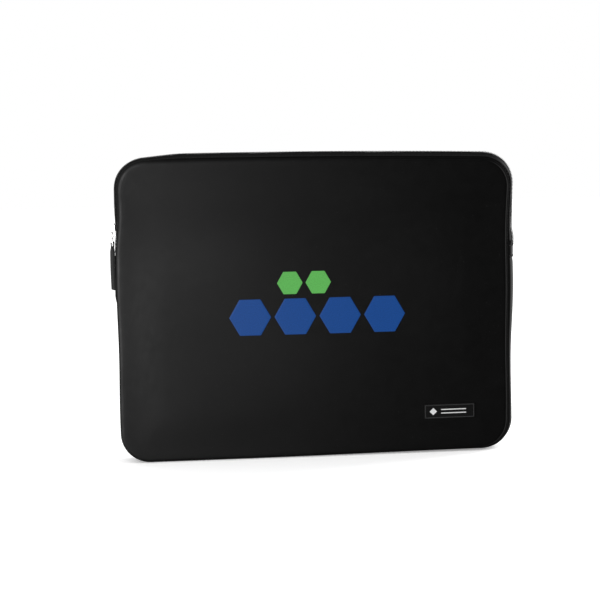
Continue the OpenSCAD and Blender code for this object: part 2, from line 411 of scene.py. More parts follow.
def knitted(name, dark, light, gloss, highlight_and_wear, wale=0.0011):
    """Fine jersey: columns of V-shaped loops, with a little lint on it."""
    finish = Finish(name, 0.6, sheen=0.01, specular=gloss)
    column = finish.math("PINGPONG", finish.u, wale / 2)
    slope = finish.times(column, 2 / wale)
    loops = finish.wave(finish.add(finish.v, finish.times(column, 0.9)), wale * 0.9)
    height = finish.add(finish.times(loops, 0.35), finish.times(slope, -0.5))
    fuzz = finish.noise(0.0007, 3.0)
    finish.relief(finish.add(height, fuzz), 0.00007, 0.7)
    patchy = finish.above(finish.noise(0.03, 3.0), 0.35, 0.65)
    ground = finish.blend_colours(patchy, dark, light)
    stitch_shade = finish.blend_colours(finish.above(height, -0.5, 0.3), shaded(dark, 0.5), ground)
    lint = finish.above(finish.noise(0.0016, 1.0), 0.72, 0.80)
    linty = finish.blend_colours(finish.times(lint, 0.3), stitch_shade, grey(0.05))
    # Painted shade deep in seams, and a painted highlight on ridges that is the light colour times the last
    # factor.
    finish.painted_light_colour(linty, shaded(dark, 0.2), shaded(light, highlight_and_wear))
    finish.rough(finish.times(finish.add(fuzz, finish.noise(0.011, 3.0)), 0.5), 0.52, 0.72)
    return finish.material


def plush(name, dark, light):
    """Short brushed pile."""
    finish = Finish(name, 0.95, sheen=0.05, specular=0.05)
    pile = finish.noise(0.0009, 4.0)
    brushed = finish.noise(0.018, 2.0)
    finish.relief(finish.add(pile, finish.times(brushed, 0.8)), 0.0006, 0.9)
    shade = finish.add(finish.times(pile, 0.6), finish.times(brushed, 0.4))
    finish.colour(finish.blend_colours(finish.above(shade, 0.38, 0.62), dark, light))
    finish.rough(pile, 0.88, 1.0)
    return finish.material


def foamed(name, dark, light):
    """Closed-cell rubber foam, seen only where it is cut."""
    finish = Finish(name, 0.85, specular=0.15)
    cells = finish.noise(0.0006, 2.0)
    finish.relief(cells, 0.0002)
    finish.colour(finish.blend_colours(finish.above(cells, 0.4, 0.6), dark, light))
    return finish.material


def woven(name, dark, light, along=0.0008, across=0.0008, roughness=0.75, depth=0.0001, sheen=0.1,
          gloss=0.035, highlight_and_wear=2):
    """Tape or ribbon: threads that pass over and under each other."""
    finish = Finish(name, roughness, sheen=sheen, specular=gloss)
    over = finish.times(finish.wave(finish.u, along), finish.wave(finish.v, across))
    fibre = finish.noise(0.0005, 3.0)
    finish.relief(finish.add(finish.times(over, 0.5), finish.times(fibre, 0.6)), depth)
    shade = finish.add(finish.times(over, 0.25), fibre)
    threads = finish.blend_colours(finish.above(shade, 0.25, 0.8), dark, light)
    # Painted shade deep in seams, and a painted highlight on crests that is the light colour times the last
    # factor.
    finish.painted_light_colour(threads, shaded(dark, 0.4), shaded(light, highlight_and_wear))
    finish.rough(fibre, roughness - 0.1, roughness + 0.12)
    return finish.material


def corded(name, dark, light, pitch=0.0006, twist=1.2, roughness=0.6):
    """Thread or a moulded coil: a twist that runs round it."""
    finish = Finish(name, roughness, sheen=0.02, specular=0.03)
    strand = finish.wave(finish.add(finish.u, finish.times(finish.v, twist)), pitch)
    fibre = finish.noise(0.0004, 2.0)
    finish.relief(finish.add(finish.times(strand, 0.5), fibre), 0.00008)
    finish.colour(finish.blend_colours(finish.above(finish.add(strand, fibre), -0.4, 1.2), dark, light))
    return finish.material


def metallic(name, dark, light, low, high):
    """Plated metal with fine wear: brushed along, and duller in patches."""
    finish = Finish(name, 0.3, metallic=1.0)
    stretched = finish.tree.nodes.new("ShaderNodeMapping")
    stretched.inputs["Scale"].default_value = (1, 12, 1)
    finish.tree.links.new(finish.cut, stretched.inputs["Vector"])
    brushed = finish.tree.nodes.new("ShaderNodeTexNoise")
    brushed.inputs["Scale"].default_value = 900
    finish.tree.links.new(stretched.outputs["Vector"], brushed.inputs["Vector"])
    highlight_and_wear = finish.noise(0.0025, 4.0)
    finish.relief(brushed.outputs["Fac"], 0.00002, 0.5)
    finish.colour(finish.blend_colours(finish.above(highlight_and_wear, 0.4, 0.62), dark, light))
    finish.rough(highlight_and_wear, low, high)
    return finish.material


def printed(name, colour, shade):
    """Screen-print ink on a knit: a thin even film that keeps a hint of the loops."""
    finish = Finish(name, 0.6, specular=KNIT_GLOSS)
    column = finish.math("PINGPONG", finish.u, 0.00055)
    loops = finish.wave(finish.add(finish.v, finish.times(column, 0.9)), 0.001)
    film = finish.noise(0.0011, 3.0)
    finish.relief(finish.add(finish.times(loops, 0.25), film), 0.00006, 0.7)
    finish.colour(finish.blend_colours(finish.above(film, 0.32, 0.7), shade, colour))
    finish.rough(film, 0.54, 0.7)
    return finish.material


BLUE, BLUE_SHADE = (0.0045, 0.05, 0.215), (0.0035, 0.04, 0.175)
GREEN, GREEN_SHADE = (0.093, 0.37, 0.078), (0.075, 0.305, 0.063)
FINISHES = {
    # The last factor of the knits and the zip tape makes their painted ridge highlight that many times the
    # light colour.
    "face_knit": knitted("face_knit", grey(0.0014), grey(0.0024), KNIT_GLOSS, highlight_and_wear=10),
    # A lit copy of the face knit for the gusset and tabs: lighter and without gloss so the sides read as
    # lit, with its own painted seam shade and crest highlight.
    "lit_side_knit": knitted("lit_side_knit", grey(0.006), grey(0.011), 0.0, highlight_and_wear=4.5),
    "plush_lining": plush("plush_lining", grey(0.006), grey(0.016)),
    "foam_core": foamed("foam_core", grey(0.012), grey(0.03)),
    "seam_binding": woven("seam_binding", grey(0.006), grey(0.014), 0.0007, 0.0021, sheen=0.02),
    "zip_tape": woven("zip_tape", grey(0.006), grey(0.016), 0.0009, 0.0009, 0.85, 0.00016, 0, gloss=0,
                      highlight_and_wear=6),
    "zip_coil": corded("zip_coil", grey(0.012), grey(0.03), roughness=0.38),
    "slider_metal": metallic("slider_metal", grey(0.55, 0.02), grey(0.75, 0.01), 0.22, 0.38),
    "pull_wire": metallic("pull_wire", grey(0.62, 0.02), grey(0.82, 0.01), 0.15, 0.3),
    "pull_webbing": woven("pull_webbing", grey(0.011), grey(0.032), 0.0011, 0.0011, depth=0.00025,
                          sheen=0.03),
    "stitch_thread": corded("stitch_thread", grey(0.012), grey(0.04)),
    "label_fabric": woven("label_fabric", grey(0.0022), grey(0.0045), 0.0004, 0.0004, 0.6, 0.00005, 0.01),
    "label_edge": woven("label_edge", grey(0.022), grey(0.045), 0.0005, 0.0005, 0.6, sheen=0.02),
    "label_white": woven("label_white", grey(0.5), grey(0.72), 0.0005, 0.0005, 0.6),
    "blue_ink": printed("blue_ink", BLUE, BLUE_SHADE),
    "green_ink": printed("green_ink", GREEN, GREEN_SHADE),
}


def make(shape, name, slot, nodes=(), body="pocket", side=None, sharp=None, finish=None):
    """A piece from a shape, with its slot's finish or the finish named, the CAD nodes it stands for, which
    are hidden, and the body it moves with. A piece given a side gets no body and is baked in place."""
    piece = shape.build(name, FINISHES[finish or slot], sharp)
    if nodes:
        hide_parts(*nodes)
    if side is None:
        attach(piece, body)
    else:
        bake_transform(piece)
    return piece


# ---- Panels: knit face rolled over the edge, foam, lining, binding ----
ROLL_INSET, ROLL_DEPTH = 4.65, 3.15
ROLL_WIDE, ROLL_DEEP = 4.2, 3.3
FACE_T = 0.8
PANEL_T = HALF_T - SEAM_Y
LINING_FRONT = PANEL_T - 0.75


def rolled(offset, last):
    """The rolled edge of a panel at an offset under its surface, from its ridge round to the seam."""
    turn = np.radians(np.linspace(90, last, 11))
    inset = ROLL_INSET - (ROLL_WIDE - offset) * np.cos(turn)
    depth = ROLL_DEPTH - (ROLL_DEEP - offset) * np.sin(turn)
    return np.stack([inset, depth], axis=1)


def run_in(offset):
    """From the middle of a panel's surface to its ridge."""
    return np.array([[CORNER_R, offset], [20, offset], [13, offset - 0.02], [8.5, offset - 0.1]])


# The painted light of a rolled edge: painted shade in the seam, a painted highlight on the ridge, and open
# cloth on the panel.
ROLL_SHADE_AND_HIGHLIGHT = np.interp(np.linspace(90, -35, 11), [-35, 0, 25, 40, 52.5, 65, 80, 90],
                      [0, 0, 0.05, 0.25, 1, 0.5, 0.5, 0.5])
HIGHLIGHT_ELSEWHERE = 0.2  # the painted highlight of every other edge, as a share of the right edge's, where the edge lamp falls


def panel_layer(side, cut, cells, light_paint):
    """A closed layer of a panel. cut gives insets and depths under the surface, from the middle of the
    layer's outer face round its edge to the middle of its inner face. Its painted light (painted
    shade in the seam, painted highlight on the ridge) is one number, or one for each of those."""
    long_cells, tall_cells, arc_cells = cells
    outline = whole_outline(long_cells, tall_cells, arc_cells)
    depth = cut[:, 1] - HALF_T
    points = outline.section(np.stack([cut[:, 0], depth], axis=1))
    centre = outline.point - CORNER_R * outline.outward
    texture = centre[:, None] + lengths(cut)[None, :, None] * outline.outward[:, None]
    shape = Shape()
    # The painted highlight is full on the right edge, where the edge lamp falls, and weaker elsewhere.
    painted_light = HIGHLIGHT_ELSEWHERE + (1 - HIGHLIGHT_ELSEWHERE) * ramp(outline.outward[:, :1], 0, 1)
    light_paint = np.where(np.asarray(light_paint) > 0.5, 0.5 + (light_paint - 0.5) * painted_light, light_paint)
    shape.grid(faced(points, side), np.concatenate([texture, texture[:1]]), wrap_rows=True, light_paint=light_paint)
    x = np.linspace(CORNER_R - HALF_W, HALF_W - CORNER_R, long_cells + 1)
    z = np.linspace(CORNER_R, TOP - CORNER_R, tall_cells + 1)
    x, z = np.meshgrid(x, z, indexing="ij")
    for y in (depth[0], depth[-1]):
        middle = np.stack([x, np.full(x.shape, y), z], axis=-1)
        shape.grid(faced(middle, side), np.stack([x, z], axis=-1))
    return shape


# Cells along a panel's top and bottom, along its sides, and round a corner.
FINE_CELLS, COARSE_CELLS = (110, 80, 12), (56, 40, 8)


def panel(side, where):
    """The layers of one side of the sleeve, and the tape that binds its inner seam."""
    skin = np.concatenate([run_in(0), rolled(0, -35), rolled(FACE_T, -35)[::-1], run_in(FACE_T)[::-1]])
    open_cloth = np.full(4, 0.5)
    # Open cloth on the faces, with the rolled edge's painted seam shade and ridge highlight.
    skin_shade_and_highlight = np.concatenate([open_cloth, ROLL_SHADE_AND_HIGHLIGHT, ROLL_SHADE_AND_HIGHLIGHT[::-1], open_cloth])
    core_back = [[2.4, PANEL_T - 0.95], [4, PANEL_T - 0.85], [CORNER_R, PANEL_T - 0.85]]
    core = np.concatenate([run_in(FACE_T + 0.05), rolled(FACE_T + 0.05, -12), core_back])
    pile = np.array([[CORNER_R, LINING_FRONT], [3, LINING_FRONT], [2.1, LINING_FRONT + 0.2],
                     [2.1, PANEL_T - 0.15], [3, PANEL_T], [CORNER_R, PANEL_T]])
    for part, slot, cut, cells, light_paint in (
        ("face", "face_knit", skin, FINE_CELLS, skin_shade_and_highlight),
        ("foam", "foam_core", core, COARSE_CELLS, 0.5),
        ("lining", "plush_lining", pile, FINE_CELLS, 0.5),
    ):
        nodes = [f"{where}_lower_{part}", f"{where}_lip_{part}"]
        piece = make(panel_layer(side, cut, cells, light_paint), f"{where}_panel_{part}", slot, nodes, side=side)
    fold = np.array([[3.3, 0.05], [3.3, 1.3], [3.7, 2.0], [4.6, 2.35], [5.6, 2.2], [6.4, 1.6], [6.6, 0.7],
                     [6.6, 0.05]])
    nodes = [f"{where}_lower_binding", f"{where}_lip_binding"]
    tape = swept(whole_outline(*FINE_CELLS), fold + [0, -SEAM_Y], side)
    make(tape, f"{where}_seam_binding", "seam_binding", nodes, side=side, sharp=60)


# ---- Gusset, zip tapes and coils ----
GUSSET_TOP = node_box("gusset_face")[1][2]
GUSSET_PINCH = 1.6  # how far a strip's seams lie inside the outline
GUSSET_BULGE = 3.0  # how far the right side's middle stands out of it
END_BULGE = 2.2  # and how much further at its upper end
END_BULGE_LOW, END_BULGE_HIGH = 95, 180
UNDER_TAB = 1.3  # how much the right tab presses it in
TAB_EASE = 4
LEFT_UNDER_TAB = -0.9  # the left side's bow under its tab: a little inside the outline
LEFT_TAB_LOW, LEFT_TAB_HIGH = 189, 193
RIGHT_END_BOW = GUSSET_BULGE + END_BULGE - UNDER_TAB
CREST_BACK = 5.0  # how far the right side's crest lies behind the middle
ARCH_POWER, ARCH_ROUND, ARCH_RIGHT = 2.2, 0.75, 0.5  # a strip's roundness, and how much sharper it is there
# How bright the painted highlight on the right side's crest is, where the edge lamp falls.
RIGHT_HIGHLIGHT = 0.45
GUSSET_T, GUSSET_FACE_T, GUSSET_LINING_T = 3.2, 0.7, 0.6
LAYER_GAP = 0.04
LEFT_SWELL = 2.8  # a guess, which fills the gap that would show beside the pull
SWELL_LOW, SWELL_FULL = 150, 165
SWELL_FADE, SWELL_HIGH = 201, 205
SWELL_Y, SWELL_BACK = 6, 11
ZIP_START = GUSSET_TOP - 6
TAPE_T = 0.6
TAPE_EDGE = 1.8
TAPE_SUNK, TAPE_RISE = -1.5, 4.1  # its bow at the slider, and how much more over the top
TAPE_RISE_X, TAPE_RISE_LENGTH = -185, 60
TAPE_END_HEIGHT = 12
LAP_GAP = 0.1
COIL_Y = 2.5
COIL_HALF_W, COIL_HALF_T = 1.2, 0.5
COIL_PITCH = 1.4
WIRE_R = 0.27


def arch(path, y):
    """How a strip between the seams bows, at each station and depth: 0 at a seam, up to 1 between.
    On the right side its crest lies nearer the back."""
    right = np.clip(path.outward[:, :1], 0, 1) ** 2
    y = np.broadcast_to(y, (len(path.point), np.shape(y)[-1]))
    shifted = y - CREST_BACK * right * (1 - (y / SEAM_Y) ** 2)
    inward = np.clip(np.abs(shifted) / SEAM_Y, 0, 1)
    return (1 - inward**ARCH_POWER) ** (ARCH_ROUND + ARCH_RIGHT * right)


def gusset_bow(path):
    """How far the gusset's middle stands out of the outline at each station."""
    right = np.clip(path.outward[:, 0], 0, 1) ** 2
    left = np.clip(-path.outward[:, 0], 0, 1) ** 2
    z = path.point[:, 1]
    under_tab = ramp(z, TAB_LOW[2] - TAB_EASE, TAB_LOW[2] + TAB_EASE)
    right_bow = GUSSET_BULGE + END_BULGE * ramp(z, END_BULGE_LOW, END_BULGE_HIGH) - UNDER_TAB * under_tab
    left_bow = LEFT_UNDER_TAB * ramp(z, LEFT_TAB_LOW, LEFT_TAB_HIGH)
    return right_bow * right + left_bow * left


def tape_bow(path):
    """The same for the tape, which is sunk where the slider runs and lies on the gusset at its ends."""
    x, z = path.point[:, 0], path.point[:, 1]
    free = TAPE_SUNK + TAPE_RISE * ramp(x, TAPE_RISE_X, TAPE_RISE_X + TAPE_RISE_LENGTH)
    at_end = np.where(x > 0, RIGHT_END_BOW, LEFT_UNDER_TAB) + TAPE_T + LAP_GAP
    return at_end + (free - at_end) * ramp(z, HINGE_Z, HINGE_Z + TAPE_END_HEIGHT)


def bowed(path, bow, y, under=0.0):
    """Points of a bowed strip, at depths y, and a distance under its outer face."""
    return path.at(bowed_inset(path, bow, y) + under, y)


def bowed_inset(path, bow, y):
    """The inset of a bowed strip's outer face, at each station and depth."""
    return GUSSET_PINCH - (GUSSET_PINCH + bow[:, None]) * arch(path, y) - swell(path, y)


def swell(path, y):
    """A soft bulge in the back half of the left side, behind the hanging pull."""
    left = np.clip(-path.outward[:, :1], 0, 1) ** 2
    z = path.point[:, 1:]
    high = ramp(z, SWELL_LOW, SWELL_FULL) * (1 - ramp(z, SWELL_FADE, SWELL_HIGH))
    return LEFT_SWELL * left * high * ramp(y, 0, SWELL_Y) * (1 - ramp(y, SWELL_Y, SWELL_BACK))


def strip(path, outer, inner, light_paint=0.5):
    """A closed strip between two sets of points (stations, columns, 3)."""
    light_paint = np.broadcast_to(light_paint, outer.shape[:2])
    both = np.concatenate([light_paint, light_paint[:, ::-1]], axis=1)
    return Shape().tube(np.concatenate([outer, inner[:, ::-1]], axis=1), path.closed, light_paint=both)


def seam_shade_and_highlight(path, y):
    """Painted shade along the seams, open cloth between them, and a painted highlight there on the right
    side, where the edge lamp falls.
    """
    crest = 0.5 + RIGHT_HIGHLIGHT * np.clip(path.outward[:, :1], 0, 1) ** 2
    return crest * ramp(arch(path, y), 0.2, 0.5)


def both_sides(points):
    """Settles points of a piece that runs from the front to the back."""
    return settle(points, np.clip(points[..., 1] / SEAM_Y, -1, 1))


def gusset():
    """The strip round the lower edges, in three layers, from one side's tab to the other's."""
    path = rounded_path(GUSSET_TOP, upper=False)
    bow = gusset_bow(path)
    y = SEAM_Y * np.sin(np.linspace(-math.pi / 2, math.pi / 2, 17)) * 0.99
    inside = GUSSET_T - GUSSET_PINCH + GUSSET_PINCH * arch(path, y)
    levels = {
        "face": (0, GUSSET_FACE_T),
        "foam": (GUSSET_FACE_T + LAYER_GAP, inside - GUSSET_LINING_T - LAYER_GAP),
        "lining": (inside - GUSSET_LINING_T, inside),
    }
    slots = {"face": "face_knit", "foam": "foam_core", "lining": "plush_lining"}
    # The gusset's face takes the knit's lit copy.
    finishes = {**slots, "face": "lit_side_knit"}
    for part, (outer, inner) in levels.items():
        surfaces = [both_sides(bowed(path, bow, y, under)) for under in (outer, inner)]
        shell = strip(path, *surfaces, light_paint=seam_shade_and_highlight(path, y))
        nodes = [f"gusset_{part}"]
        piece = make(shell, f"gusset_strip_{part}", slots[part], nodes, sharp=70, finish=finishes[part])


def wire(shape, points, toward, radius, sides=6, closed=False):
    """A round wire along points. toward, one direction or one for each, keeps it from twisting."""
    if closed:
        along = np.roll(points, -1, axis=0) - np.roll(points, 1, axis=0)
    else:
        along = np.gradient(points, axis=0)
    along /= np.linalg.norm(along, axis=1, keepdims=True)
    across = np.cross(along, toward)
    across /= np.linalg.norm(across, axis=1, keepdims=True)
    up = np.cross(across, along)
    turn = np.linspace(0, 2 * math.pi, sides, endpoint=False)
    radius = np.broadcast_to(np.asarray(radius, float), (len(points),))[:, None, None]
    ring = np.cos(turn)[None, :, None] * across[:, None] + np.sin(turn)[None, :, None] * up[:, None]
    return shape.tube(points[:, None] + radius * ring, closed)


def coil(shape, path, run, centre, side):
    """One row of the zip's coil, wound along a path."""
    turn = 2 * math.pi * run / COIL_PITCH
    inset = centre - COIL_HALF_T * np.cos(turn)
    y = np.full(len(run), -COIL_Y) + COIL_HALF_W * np.sin(turn)
    points = faced(path.at(inset[:, None], y[:, None])[:, 0], side)
    core = faced(path.at(centre[:, None], np.full((len(run), 1), -COIL_Y))[:, 0], side)
    return wire(shape, points, points - core + 1e-6, WIRE_R)


def stitch_row(shape, path, inset, y, side, length=2.2, gap=0.9, radius=0.2):
    """A row of stitches along a path, at an inset (one for each station) and a depth."""
    run = lengths(path.point)
    starts = np.arange(gap, run[-1] - length, length + gap)
    share = np.array([0, 0.12, 0.35, 0.65, 0.88, 1])
    lift = np.array([-0.6, -0.1, 0.45, 0.45, -0.1, -0.6]) * radius
    for start in starts:
        at = start + share * length
        spot = Path(
            np.stack([np.interp(at, run, path.point[:, k]) for k in (0, 1)], axis=1),
            np.stack([np.interp(at, run, path.outward[:, k]) for k in (0, 1)], axis=1),
        )
        level = np.interp(at, run, inset) - lift
        line = faced(spot.at(level[:, None], np.full((len(at), 1), y))[:, 0], side)
        out = np.stack([spot.outward[:, 0], np.zeros(len(at)), spot.outward[:, 1]], axis=1)
        wire(shape, line, out, radius * np.array([0.4, 0.85, 1, 1, 0.85, 0.4]))
    return shape


def zip_half(side, where):
    """One side's zip tape, its row of the coil, and the stitches that hold both."""
    path = rounded_path(ZIP_START, upper=True)
    bow = tape_bow(path)
    y = -np.linspace(SEAM_Y - 0.15, TAPE_EDGE, 12)
    outer, inner = (settle(bowed(path, bow, -side * y, under), side) for under in (0, TAPE_T))
    shell = strip(path, outer, inner, light_paint=seam_shade_and_highlight(path, y))
    piece = make(shell, f"{where}_tape", "zip_tape", [f"{where}_zip_tape"], side=side, sharp=60)

    stitch_y, hem_y = SEAM_Y - 2.4, COIL_Y + 1.9
    coil_line, seam_line, hem_line = bowed_inset(path, bow, side * np.array([COIL_Y, stitch_y, hem_y])).T
    fine = rounded_path(ZIP_START + 3, upper=True, spacing=COIL_PITCH / 10)
    coarse_run, fine_run = lengths(path.point), lengths(fine.point)
    bead = np.interp(fine_run + 3, coarse_run, coil_line) - COIL_HALF_T - 0.12
    winding = coil(Shape(), fine, fine_run, bead, side)
    make(winding, f"{where}_coil", "zip_coil", [f"{where}_zip_coil"], side=side)

    rows = stitch_row(Shape(), path, seam_line - 0.1, -stitch_y, side)
    stitch_row(rows, path, hem_line - 0.1, -hem_y, side, length=1.6, gap=0.5, radius=0.14)
    make(rows, f"{where}_tape_stitches", "stitch_thread", side=side)


panel(FRONT, "front")
panel(BACK, "back")
gusset()
zip_half(FRONT, "front")
zip_half(BACK, "back")


# ---- Sewn ends of the zip ----
TAB_T = 0.75
TAB_LEN = TAB_HIGH[2] - TAB_LOW[2]
TACK_HALF_W, TACK_HALF_H, TACK_THREAD_R = 7.5, 0.55, 0.2
TACK_POINTS = 49
ZIP_END_LOW, ZIP_END_HIGH = ZIP_START - 7, ZIP_START - 0.6
COIL_END_HIGH, COIL_END_LEN, COIL_END_INSET = ZIP_START + 2.4, 6.4, 0.9


def side_path(right, z):
    """Stations up one straight side of the sleeve."""
    point = np.stack([np.full(len(z), right * HALF_W), z], axis=1)
    return Path(point, np.tile([float(right), 0.0], (len(z), 1)))


def end_tab(right, where):
    """A folded strip of the face knit over the zip's sewn end, with its upper edge turned in."""
    along = np.array([0, 0.25, 1.2, 3, 6, 9, 13, 14.6, 15.4, 16.4, 17.2, 17.8, 18]) / 18
    thick = np.array([0.1, 0.3, 0.5, 0.75, 0.95, 1, 1, 1.15, 1.5, 1.6, 1.4, 0.9, 0.3]) * TAB_T
    path = side_path(right, TAB_LOW[2] + along * TAB_LEN)
    bow = np.full(len(along), tab_bow(right))
    y = (SEAM_Y - 0.2) * np.sin(np.linspace(-math.pi / 2, math.pi / 2, 15))
    inner = both_sides(bowed(path, bow, y))
    outer = both_sides(bowed(path, bow, y, -thick[:, None]))
    shell = strip(path, outer, inner, light_paint=seam_shade_and_highlight(path, y))
    nodes = [f"{where}_end_tab"]
    # The tab takes the knit's lit copy.
    piece = make(shell, f"{where}_folded_tab", "face_knit", nodes, sharp=70, finish="lit_side_knit")


def tab_bow(right):
    """Where a tab's inner face lies: on the tapes that lie on the gusset."""
    return (RIGHT_END_BOW if right > 0 else LEFT_UNDER_TAB) + TAPE_T + 2 * LAP_GAP


def bar_tack(shape, right, z):
    """A dense zigzag of thread across a tab."""
    y = np.linspace(-TACK_HALF_W, TACK_HALF_W, TACK_POINTS)
    zigzag = z + TACK_HALF_H * np.where(np.arange(len(y)) % 2, 1, -1)
    path = side_path(right, zigzag)
    inset = np.diagonal(bowed_inset(path, np.full(len(y), tab_bow(right)), y)) - TAB_T - LAP_GAP
    line = both_sides(path.at(inset[:, None], y[:, None])[:, 0])
    return wire(shape, line, right * SIDEWAYS, TACK_THREAD_R)


def zip_ends():
    """Short ends of both tapes and both coils, caught under the tabs."""
    tapes, coils = Shape(), Shape()
    z = np.linspace(ZIP_END_LOW, ZIP_END_HIGH, 6)
    run = np.arange(0, COIL_END_LEN, COIL_PITCH / 10)
    for right in (-1, 1):
        bow = np.full(len(z), tab_bow(right) - 0.15)
        for side in (FRONT, BACK):
            path = side_path(right, z)
            y = side * np.linspace(SEAM_Y - 0.4, TAPE_EDGE, 8)
            outer, inner = (both_sides(bowed(path, bow, y, under)) for under in (0, 0.5))
            tapes.tube(np.concatenate([outer, inner[:, ::-1]], axis=1))
            short = side_path(right, COIL_END_HIGH - run)
            coil(coils, short, run, np.full(len(run), COIL_END_INSET), side)
    piece = make(tapes, "zip_sewn_ends", "zip_tape", ["zip_end_tapes"], sharp=60)
    make(coils, "coil_sewn_ends", "zip_coil", ["zip_end_coils"])


def sewn_ends():
    end_tab(-1, "left")
    end_tab(1, "right")
    tacks = Shape()
    for right in (-1, 1):
        for z in (TAB_LOW[2] + 2.4, TAB_HIGH[2] - 5):
            bar_tack(tacks, right, z)
    make(tacks, "tab_tacks", "stitch_thread", ["bar_tacks"])
    zip_ends()


# ---- Flat shapes with round corners ----
def rounded_polygon(corners, radius, steps=5):
    """A convex outline whose corners are arcs of that radius."""
    corners = np.asarray(corners, float)
    outline = []
    for k, corner in enumerate(corners):
        before = corners[k - 1] - corner
        after = corners[(k + 1) % len(corners)] - corner
        before /= np.linalg.norm(before)
        after /= np.linalg.norm(after)
        middle = (before + after) / np.linalg.norm(before + after)
        half = math.acos(np.clip(before @ after, -1, 1)) / 2
        centre = corner + middle * radius / math.sin(half)
        first = centre - corner - before * (radius / math.tan(half))
        last = centre - corner - after * (radius / math.tan(half))
        for share in np.linspace(0, 1, steps + 1):
            spoke = -(first * (1 - share) + last * share)
            outline.append(centre + spoke * radius / np.linalg.norm(spoke))
    return np.array(outline)


SQUARE = np.array([[-1, -1], [1, -1], [1, 1], [-1, 1]])


def rectangle(width, height, radius, steps=5):
    return rounded_polygon(SQUARE * [width / 2, height / 2], radius, steps)


def refined(outline, spacing):
    """The same closed outline with points no further apart than spacing."""
    points = []
    for start, end in zip(outline, np.roll(outline, -1, axis=0)):
        cuts = max(1, int(np.ceil(np.linalg.norm(end - start) / spacing)))
        points.extend(start + (end - start) * k / cuts for k in range(cuts))
    return np.array(points)


def slab_rings(outline, thickness, edge):
    """Rings of a low slab with a rounded upper edge: a scale and height for each ring, then the rings."""
    size = np.abs(outline).max(axis=0).min()
    inner = [0.02, 0.25, 0.5, 0.75, 0.92]
    brim = 1 - edge / size
    rings = [(s, 0) for s in inner + [1]]
    rings += [(1, thickness - edge), (1 - 0.3 * edge / size, thickness - 0.3 * edge), (brim, thickness)]
    rings += [(s * brim, thickness) for s in inner[::-1]]
    return rings


def on_front(shape, outline, centre, level, thickness, edge):
    """A thin slab that lies on the front face: outline in x and z about centre, level off the face."""
    rings = slab_rings(outline, thickness, edge)
    flat = np.array([centre + outline * scale for scale, _ in rings])
    lift = np.array([-HALF_T - level - height for _, height in rings])[:, None]
    points = np.stack([flat[..., 0], np.broadcast_to(lift, flat.shape[:2]), flat[..., 1]], axis=-1)
    texture = np.concatenate([flat, flat[:, :1]], axis=1)
    return shape.tube(settle(points, FRONT), texture=texture)


# ---- Label and print ----
LABEL_T = 0.8
LABEL_GAP = 0.02
MARK_T = 0.22
BORDER_MARGIN, BORDER_R = 1.1, 0.34


def label():
    """A sewn cloth label with a raised border, and a generic diamond and two bars."""
    low, high = node_box("label_patch")
    centre = ((low + high) / 2)[[0, 2]]
    width, height = (high - low)[[0, 2]]
    patch = on_front(Shape(), refined(rectangle(width, height, 0.7), 3), centre, LABEL_GAP, LABEL_T, 0.35)
    make(patch, "label_cloth", "label_fabric", ["label_patch"])

    top = LABEL_T + LABEL_GAP
    border = Shape()
    line = refined(rectangle(width - 2 * BORDER_MARGIN, height - 2 * BORDER_MARGIN, 0.5), 2) + centre
    run = np.stack([line[:, 0], np.full(len(line), -HALF_T - top - 0.1), line[:, 1]], axis=1)
    wire(border, settle(run, FRONT), FORWARDS, BORDER_R, sides=8, closed=True)
    make(border, "label_frame", "label_edge", ["label_border"])

    mark = Shape()
    diamond = rounded_polygon(np.array([[-1, 0], [0, -1], [1, 0], [0, 1]]) * height / 4, 0.3)
    on_front(mark, diamond, centre - [width / 4 + 4, 0], top, MARK_T, 0.1)
    for row in (-1, 1):
        bar = refined(rectangle(width / 2, 1.0, 0.35), 3)
        on_front(mark, bar, centre + [4, row * height / 8], top, MARK_T, 0.1)
    make(mark, "label_device", "label_white", ["label_mark"])

    thread = Shape()
    seam = refined(rectangle(width - 0.9, height - 0.9, 0.4, steps=1), 1.9)
    for start, end in zip(seam, np.roll(seam, -1, axis=0)):
        share = np.array([0.04, 0.2, 0.5, 0.8, 0.96])[:, None]
        flat = centre + start + (end - start) * share
        lift = -HALF_T - top - np.array([-0.1, 0.05, 0.1, 0.05, -0.1])
        stitch = settle(np.stack([flat[:, 0], lift, flat[:, 1]], axis=1), FRONT)
        wire(thread, stitch, FORWARDS, 0.13)
    make(thread, "label_stitches", "stitch_thread")


def hexagon_print(node, slot, count, name):
    """A row of equal hexagons with soft corners, in one ink."""
    low, high = node_box(node)
    size = high - low
    radius = size[2] / math.sqrt(3)
    pitch = (size[0] - 2 * radius) / (count - 1)
    turn = np.radians(np.arange(6) * 60)
    outline = refined(rounded_polygon(np.stack([np.cos(turn), np.sin(turn)], axis=1) * radius, 1.2), 2.5)
    ink = Shape()
    for k in range(count):
        centre = np.array([low[0] + radius + k * pitch, (low[2] + high[2]) / 2])
        on_front(ink, outline, centre, 0.0, 0.25, 0.12)
    make(ink, name, slot, [node])


# ---- Slider, wire loop and pull ----
def facing_side(outline, x):
    """Points of an outline in y and z, at each x."""
    return np.array([np.stack([np.full(len(o), at), o[:, 0], o[:, 1]], axis=1) for o, at in zip(outline, x)])


def side_slab(shape, outline, x_from, x_to, edge):
    """A plate that faces sideways, with bevelled edges."""
    middle = outline.mean(axis=0)
    size = np.abs(outline - middle).max(axis=0).min()
    brim = 1 - edge / size
    step = edge if x_to > x_from else -edge
    scales = [0.02, brim, 1 - 0.3 * (1 - brim), 1, 1, 1 - 0.3 * (1 - brim), brim, 0.02]
    x = [x_from, x_from, x_from + 0.3 * step, x_from + step, x_to - step, x_to - 0.3 * step, x_to, x_to]
    return shape.tube(facing_side([middle + (outline - middle) * s for s in scales], x))


